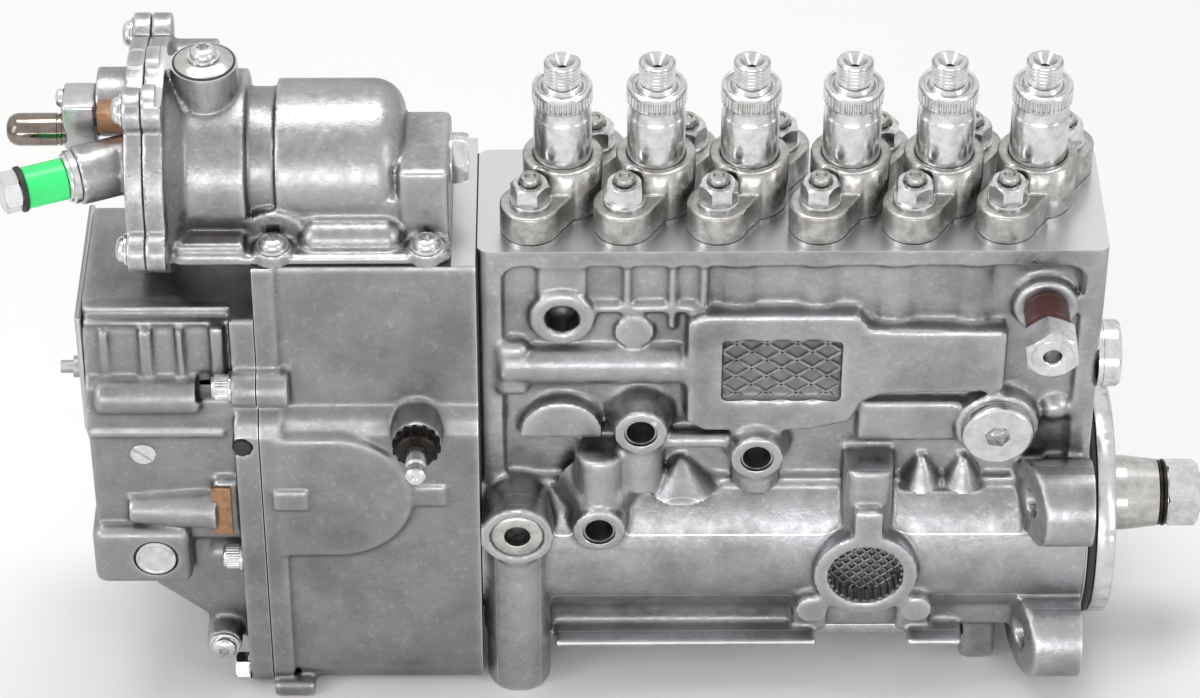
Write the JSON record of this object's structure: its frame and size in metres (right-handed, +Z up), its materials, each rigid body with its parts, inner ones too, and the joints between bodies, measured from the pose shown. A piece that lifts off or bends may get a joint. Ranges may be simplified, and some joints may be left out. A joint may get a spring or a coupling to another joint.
{
  "type": "diesel injection pump",
  "caption": "Inline diesel injection pump with flyweight governor, boost compensator, flange mounting, tapered drive shaft and threaded fuel outlets.",
  "frame": {"origin": "on the camshaft axis, at the mounting face of the flange", "axes": "+X along the camshaft towards the drive end, the fuel ports and the picture's camera at -Y, +Z up along the elements"},
  "size_m": [0.4645, 0.1385, 0.2829],
  "materials": {
    "cast_body": "sand cast, matt, stained in the recesses",
    "cast_cover": "die cast, matt, fine grain",
    "machined": "machined, satin",
    "steel": "turned steel, satin",
    "zinc": "zinc plated and yellowed",
    "dark_steel": "black oxide steel",
    "bushing_steel": "forged steel, zinc plated, dull",
    "bronze": "yellow passivated",
    "copper": "copper coloured clip",
    "red_brown": "dark red-brown plastic",
    "green": "bright green plastic",
    "black_rubber": "black rubber",
    "gasket": "dark gasket paper",
    "spring": "spring steel"
  },
  "bodies": {
    "pump": {"pump_housing": "cast_body", "base_plate": "machined", "bearing_cover": "machined", "seals": "black_rubber", "bearing_cups": "steel", "tappets": "steel", "plunger_springs": "spring", "plunger_barrels": "steel", "flange_bushings": "bushing_steel", "bushing_shims": "steel", "flange_studs": "zinc", "flange_nuts": "zinc", "delivery_holders": "zinc", "delivery_springs": "spring", "rack_cap": "zinc", "overflow_valve": "zinc", "overflow_sleeve": "red_brown", "gallery_plug": "machined", "steel_bush": "steel", "governor_housing": "cast_cover", "governor_cover": "cast_cover", "gaskets": "gasket", "end_plate": "cast_cover", "cover_plugs": "zinc", "copper_clips": "copper", "cover_screws": "zinc", "torx_screws": "zinc", "boost_housing": "cast_cover", "boost_cover": "cast_cover", "boost_diaphragm": "black_rubber", "boost_spring": "spring", "boost_port_bolt": "zinc", "boost_port_sleeve": "green", "boost_end_plug": "zinc", "stop_block": "zinc", "turret_dish": "zinc"},
    "rotor": {"camshaft": "steel", "bearing_cones": "steel", "drive_nut": "zinc", "lock_washer": "dark_steel", "flyweight_carrier": "steel"},
    "rack": {"control_rack": "steel"},
    "lever": {"governor_lever": "steel"},
    "thrust_sleeve": {"sliding_sleeve": "steel"},
    "weight_1": {"flyweight_1": "steel"},
    "weight_2": {"flyweight_2": "steel"},
    "control": {"control_shaft": "zinc"},
    "boost_moving": {"boost_rod": "steel"},
    "element_1": {"element_1": "steel"},
    "valve_1": {"delivery_valve_1": "steel"},
    "element_2": {"element_2": "steel"},
    "valve_2": {"delivery_valve_2": "steel"},
    "element_3": {"element_3": "steel"},
    "valve_3": {"delivery_valve_3": "steel"},
    "element_4": {"element_4": "steel"},
    "valve_4": {"delivery_valve_4": "steel"},
    "element_5": {"element_5": "steel"},
    "valve_5": {"delivery_valve_5": "steel"},
    "element_6": {"element_6": "steel"},
    "valve_6": {"delivery_valve_6": "steel"}
  },
  "joints": [
    {"name": "camshaft_spin", "type": "hinge", "parent": "pump", "child": "rotor", "pos_m": [0, 0, 0], "axis": [1, 0, 0], "continuous": true},
    {"name": "rack_slide", "type": "slide", "parent": "pump", "child": "rack", "axis": [1, 0, 0], "range_m": [-0.0105, 0.0105]},
    {"name": "governor_lever_swing", "type": "hinge", "parent": "pump", "child": "lever", "pos_m": [-0.311, 0, 0.03], "axis": [0, 1, 0], "range_deg": [-10.1, 10.1]},
    {"name": "thrust_sleeve_slide", "type": "slide", "parent": "pump", "child": "thrust_sleeve", "axis": [1, 0, 0], "range_m": [-0.0053, 0.0053]},
    {"name": "flyweight_1_slide", "type": "slide", "parent": "rotor", "child": "weight_1", "axis": [0, 0, 1], "range_m": [-0.00401, 0.00401]},
    {"name": "flyweight_2_slide", "type": "slide", "parent": "rotor", "child": "weight_2", "axis": [0, 0, -1], "range_m": [-0.00401, 0.00401]},
    {"name": "control_shaft_turn", "type": "hinge", "parent": "pump", "child": "control", "pos_m": [-0.2597, 0, 0.077], "axis": [0, 1, 0], "range_deg": [-35, 35]},
    {"name": "boost_rod_slide", "type": "slide", "parent": "pump", "child": "boost_moving", "axis": [1, 0, 0], "range_m": [0, 0.006], "stiffness_N_per_m": 2000, "springref_m": -0.003, "deforming": ["boost_diaphragm", "boost_spring"]},
    {"name": "element_1_turn", "type": "hinge", "parent": "pump", "child": "element_1", "pos_m": [-0.204, 0, 0.092], "axis": [0, 0, 1], "range_deg": [-30.2, 30.2]},
    {"name": "delivery_valve_1_lift", "type": "slide", "parent": "pump", "child": "valve_1", "axis": [0, 0, 1], "range_m": [0, 0.0025], "stiffness_N_per_m": 900, "springref_m": -0.0005},
    {"name": "element_2_turn", "type": "hinge", "parent": "pump", "child": "element_2", "pos_m": [-0.169, 0, 0.092], "axis": [0, 0, 1], "range_deg": [-30.2, 30.2]},
    {"name": "delivery_valve_2_lift", "type": "slide", "parent": "pump", "child": "valve_2", "axis": [0, 0, 1], "range_m": [0, 0.0025], "stiffness_N_per_m": 900, "springref_m": -0.0005},
    {"name": "element_3_turn", "type": "hinge", "parent": "pump", "child": "element_3", "pos_m": [-0.134, 0, 0.092], "axis": [0, 0, 1], "range_deg": [-30.2, 30.2]},
    {"name": "delivery_valve_3_lift", "type": "slide", "parent": "pump", "child": "valve_3", "axis": [0, 0, 1], "range_m": [0, 0.0025], "stiffness_N_per_m": 900, "springref_m": -0.0005},
    {"name": "element_4_turn", "type": "hinge", "parent": "pump", "child": "element_4", "pos_m": [-0.096, 0, 0.092], "axis": [0, 0, 1], "range_deg": [-30.2, 30.2]},
    {"name": "delivery_valve_4_lift", "type": "slide", "parent": "pump", "child": "valve_4", "axis": [0, 0, 1], "range_m": [0, 0.0025], "stiffness_N_per_m": 900, "springref_m": -0.0005},
    {"name": "element_5_turn", "type": "hinge", "parent": "pump", "child": "element_5", "pos_m": [-0.061, 0, 0.092], "axis": [0, 0, 1], "range_deg": [-30.2, 30.2]},
    {"name": "delivery_valve_5_lift", "type": "slide", "parent": "pump", "child": "valve_5", "axis": [0, 0, 1], "range_m": [0, 0.0025], "stiffness_N_per_m": 900, "springref_m": -0.0005},
    {"name": "element_6_turn", "type": "hinge", "parent": "pump", "child": "element_6", "pos_m": [-0.026, 0, 0.092], "axis": [0, 0, 1], "range_deg": [-30.2, 30.2]},
    {"name": "delivery_valve_6_lift", "type": "slide", "parent": "pump", "child": "valve_6", "axis": [0, 0, 1], "range_m": [0, 0.0025], "stiffness_N_per_m": 900, "springref_m": -0.0005}
  ],
  "couplings": [
    {"joint": "governor_lever_swing", "follows": "rack_slide", "rad_per_m": 16.667},
    {"joint": "thrust_sleeve_slide", "follows": "rack_slide", "ratio": -0.5},
    {"joint": "flyweight_1_slide", "follows": "rack_slide", "ratio": 0.381},
    {"joint": "flyweight_2_slide", "follows": "rack_slide", "ratio": 0.381},
    {"joint": "element_1_turn", "follows": "rack_slide", "rad_per_m": 50},
    {"joint": "element_2_turn", "follows": "rack_slide", "rad_per_m": 50},
    {"joint": "element_3_turn", "follows": "rack_slide", "rad_per_m": 50},
    {"joint": "element_4_turn", "follows": "rack_slide", "rad_per_m": 50},
    {"joint": "element_5_turn", "follows": "rack_slide", "rad_per_m": 50},
    {"joint": "element_6_turn", "follows": "rack_slide", "rad_per_m": 50}
  ]
}
